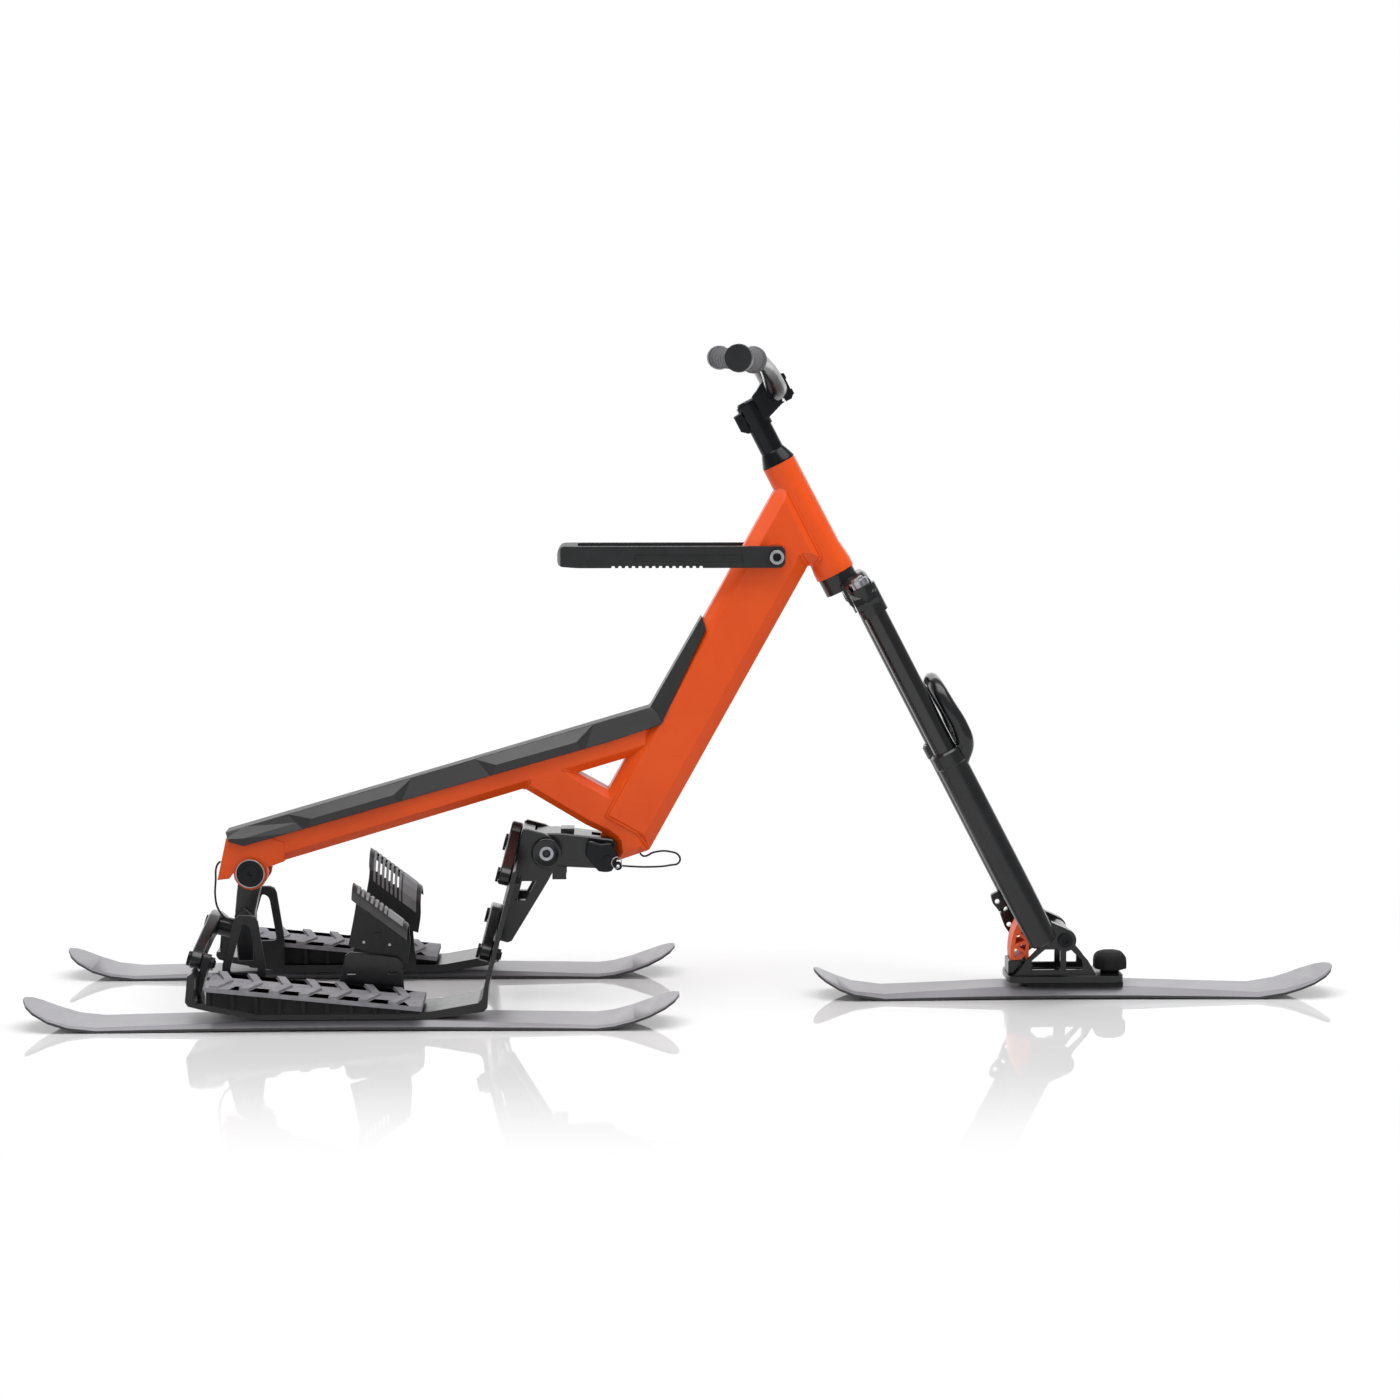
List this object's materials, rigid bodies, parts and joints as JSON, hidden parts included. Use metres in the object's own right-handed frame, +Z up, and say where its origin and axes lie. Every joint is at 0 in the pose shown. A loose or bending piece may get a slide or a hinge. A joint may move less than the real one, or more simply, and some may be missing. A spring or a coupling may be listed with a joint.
{
  "type": "ski bike",
  "caption": "Ski bike: a sprung fork steers the front ski, and a leaning parallel linkage carries the foot decks on side by side rear skis, under a long seat pad and a folding lift loop.",
  "frame": {"origin": "centre of the bounding box's base, on the snow", "axes": "+X points forward, +Y to the rider's left and +Z up"},
  "size_m": [1.951, 0.7824, 0.9822],
  "materials": {
    "orange_frame": "satin orange paint",
    "pad": "moulded charcoal foam rubber",
    "black_casting": "satin black coat over aluminium",
    "black_metal": "matte black anodised look",
    "stanchion": "gloss black tube",
    "black_plastic": "matte black moulding",
    "hook_grey": "grey moulding with a dark wall",
    "rubber": "matte black rubber",
    "tread": "mid grey ridged rubber",
    "ski": "satin warm grey",
    "elastomer": "bright orange elastomer",
    "steel": "plain steel"
  },
  "bodies": {
    "frame": {"main_frame": "orange_frame", "frame_pad": "pad", "lower_headset_bearing": "steel", "upper_headset_bearing": "steel", "lift_loop_axle": "steel", "front_knuckle": "black_casting", "front_mount_arm": "black_casting", "hub_axle": "steel", "rear_post": "black_casting", "rear_axle": "steel", "front_lower_centre_pin": "steel", "front_upper_centre_pin": "steel", "rear_centre_pin": "steel", "front_lanyard": "steel", "rear_lanyard": "steel"},
    "steering": {"fork_crown": "black_casting", "stanchion_right": "stanchion", "stanchion_left": "stanchion", "crown_adjuster": "steel", "headset_cone": "black_metal", "stem": "black_metal", "stem_faceplate": "black_metal", "stem_top_cap": "black_metal", "handlebar": "black_metal", "grip_right": "rubber", "grip_left": "rubber"},
    "lowers": {"fork_lowers": "black_casting", "fork_tab_rod": "steel", "foot_axle": "black_metal"},
    "front_ski_group": {"ski_foot": "black_casting", "foot_base_pad": "rubber", "elastomer_holder": "black_casting", "elastomer_spring": "elastomer", "bump_stop": "rubber", "front_ski": "ski"},
    "loop": {"lift_loop": "black_plastic"},
    "lock_pin": {"front_lock_pin": "black_metal"},
    "upper_link": {"front_upper_link": "black_casting"},
    "lower_link": {"front_lower_link": "black_casting"},
    "back_link": {"rear_link": "black_casting"},
    "left_carrier": {"ski_left": "ski", "ski_cradle_left": "black_casting", "deck_base_left": "rubber", "deck_tread_left": "tread", "heel_guard_left": "black_plastic", "hook_bracket_left": "black_casting", "foot_hook_left": "hook_grey", "front_lower_pin_left": "steel", "front_upper_pin_left": "steel", "rear_pin_left": "steel"},
    "right_carrier": {"ski_right": "ski", "ski_cradle_right": "black_casting", "deck_base_right": "rubber", "deck_tread_right": "tread", "heel_guard_right": "black_plastic", "hook_bracket_right": "black_casting", "foot_hook_right": "hook_grey", "front_lower_pin_right": "steel", "front_upper_pin_right": "steel", "rear_pin_right": "steel"}
  },
  "joints": [
    {"name": "steering_turn", "type": "hinge", "parent": "frame", "child": "steering", "pos_m": [0.2135, 0, 0.645], "axis": [-0.4617, 0, 0.887], "range_deg": [-50, 50]},
    {"name": "fork_travel", "type": "slide", "parent": "steering", "child": "lowers", "axis": [-0.4617, 0, 0.887], "range_m": [0, 0.1], "stiffness_N_per_m": 6000, "springref_m": -0.02},
    {"name": "ski_pitch", "type": "hinge", "parent": "lowers", "child": "front_ski_group", "pos_m": [0.558, 0, 0.095], "axis": [0, 1, 0], "range_deg": [-12, 20], "stiffness_Nm_per_rad": 60},
    {"name": "lift_loop_swing", "type": "hinge", "parent": "frame", "child": "loop", "pos_m": [0.123, 0, 0.672], "axis": [0, 1, 0], "range_deg": [-25, 60]},
    {"name": "lock_pin_pull", "type": "slide", "parent": "frame", "child": "lock_pin", "axis": [0, -1, 0], "range_m": [0, 0.07]},
    {"name": "lean", "type": "hinge", "parent": "frame", "child": "upper_link", "pos_m": [-0.27171, 0, 0.23827], "axis": [0.9681, 0, -0.2504], "range_deg": [-20, 20]},
    {"name": "lower_link_lean", "type": "hinge", "parent": "frame", "child": "lower_link", "pos_m": [-0.301, 0, 0.125], "axis": [0.9681, 0, -0.2504], "range_deg": [-20, 20]},
    {"name": "back_link_lean", "type": "hinge", "parent": "frame", "child": "back_link", "pos_m": [-0.724, 0, 0.116], "axis": [0.9681, 0, -0.2504], "range_deg": [-20, 20]},
    {"name": "left_carrier_level", "type": "hinge", "parent": "upper_link", "child": "left_carrier", "pos_m": [-0.27872, 0.137, 0.21116], "axis": [0.9681, 0, -0.2504], "range_deg": [-20, 20]},
    {"name": "right_carrier_level", "type": "hinge", "parent": "upper_link", "child": "right_carrier", "pos_m": [-0.27872, -0.137, 0.21116], "axis": [0.9681, 0, -0.2504], "range_deg": [-20, 20]}
  ],
  "couplings": [
    {"joint": "lower_link_lean", "follows": "lean", "ratio": 1},
    {"joint": "back_link_lean", "follows": "lean", "ratio": 1},
    {"joint": "left_carrier_level", "follows": "lean", "ratio": -1},
    {"joint": "right_carrier_level", "follows": "lean", "ratio": -1}
  ]
}
